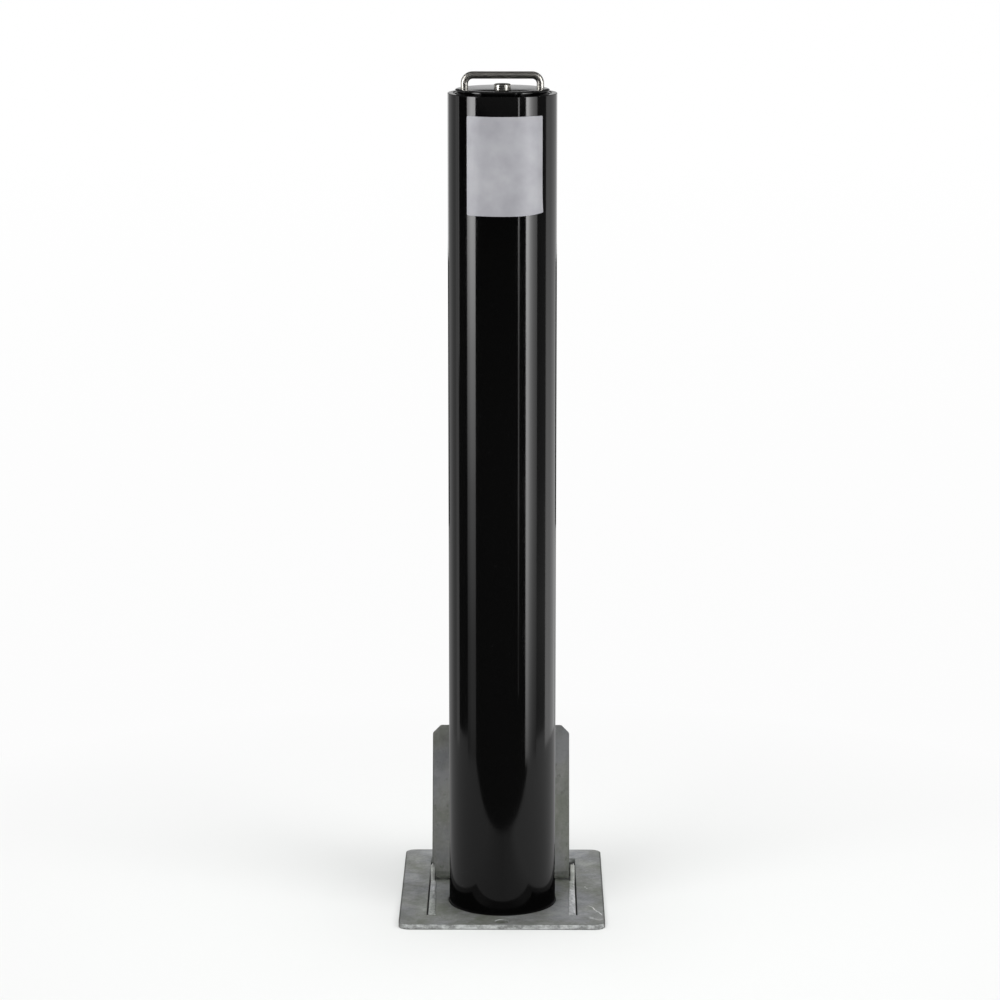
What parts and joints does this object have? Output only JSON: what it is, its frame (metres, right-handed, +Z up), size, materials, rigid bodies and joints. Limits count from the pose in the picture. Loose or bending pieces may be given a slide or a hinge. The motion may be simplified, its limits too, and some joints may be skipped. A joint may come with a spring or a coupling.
{
  "type": "removable bollard",
  "caption": "Round black steel post with a lifting handle and key lock, standing in an in-ground socket with a hinged cover lid.",
  "frame": {"origin": "on the post's axis at ground level, the underside of the ground plate", "axes": "+Z up along the post, -Y towards the labelled front, +X to the right seen from the front"},
  "size_m": [0.229, 0.283, 1.2834],
  "materials": {
    "black_gloss_paint": "black gloss powder coat on steel",
    "polished_stainless": "polished stainless steel",
    "label_film": "bare silver label film",
    "zinc_plated_steel": "zinc plated steel",
    "lock_plug_brass": "dull nickelled brass key plug",
    "galvanised_steel": "weathered hot-dip galvanised steel",
    "galvanised_weld": "galvanised weld bead"
  },
  "bodies": {
    "ground_socket": {"ground_plate": "galvanised_steel", "casing_cheek_left": "galvanised_steel", "casing_cheek_right": "galvanised_steel", "casing_front_wall": "galvanised_steel", "casing_rear_wall": "galvanised_steel", "casing_base_plate": "galvanised_steel", "guide_plate": "galvanised_steel", "catch_plate": "galvanised_steel", "slot_weld_left": "galvanised_weld", "slot_weld_right": "galvanised_weld", "hinge_pin": "galvanised_steel", "lid_stop_left": "galvanised_steel", "lid_stop_right": "galvanised_steel", "cover_screw": "zinc_plated_steel", "cover_nut": "galvanised_steel"},
    "lid": {"lid_plate": "galvanised_steel", "hinge_barrel": "galvanised_steel"},
    "post": {"post_tube": "black_gloss_paint", "top_cap": "black_gloss_paint", "lifting_handle": "polished_stainless", "handle_washers": "zinc_plated_steel", "handle_nuts": "zinc_plated_steel", "front_label": "label_film", "lock_housing": "polished_stainless", "lock_nut": "zinc_plated_steel", "rod_guide": "zinc_plated_steel", "foot_disc": "zinc_plated_steel"},
    "lock_works": {"lock_plug": "lock_plug_brass", "rod_coupler": "zinc_plated_steel", "coupler_pins": "zinc_plated_steel", "lock_rod": "zinc_plated_steel", "tee_bolt": "zinc_plated_steel", "tee_nut": "zinc_plated_steel"}
  },
  "joints": [
    {"name": "post_lift", "type": "slide", "parent": "ground_socket", "child": "post", "axis": [0, 0, 1], "range_m": [0, 0.56]},
    {"name": "lid_swing", "type": "hinge", "parent": "ground_socket", "child": "lid", "pos_m": [0, 0.078, 0.014], "axis": [1, 0, 0], "range_deg": [0, 23]},
    {"name": "lock_turn", "type": "hinge", "parent": "post", "child": "lock_works", "pos_m": [0, 0, 0], "axis": [0, 0, 1], "range_deg": [0, 90]}
  ]
}
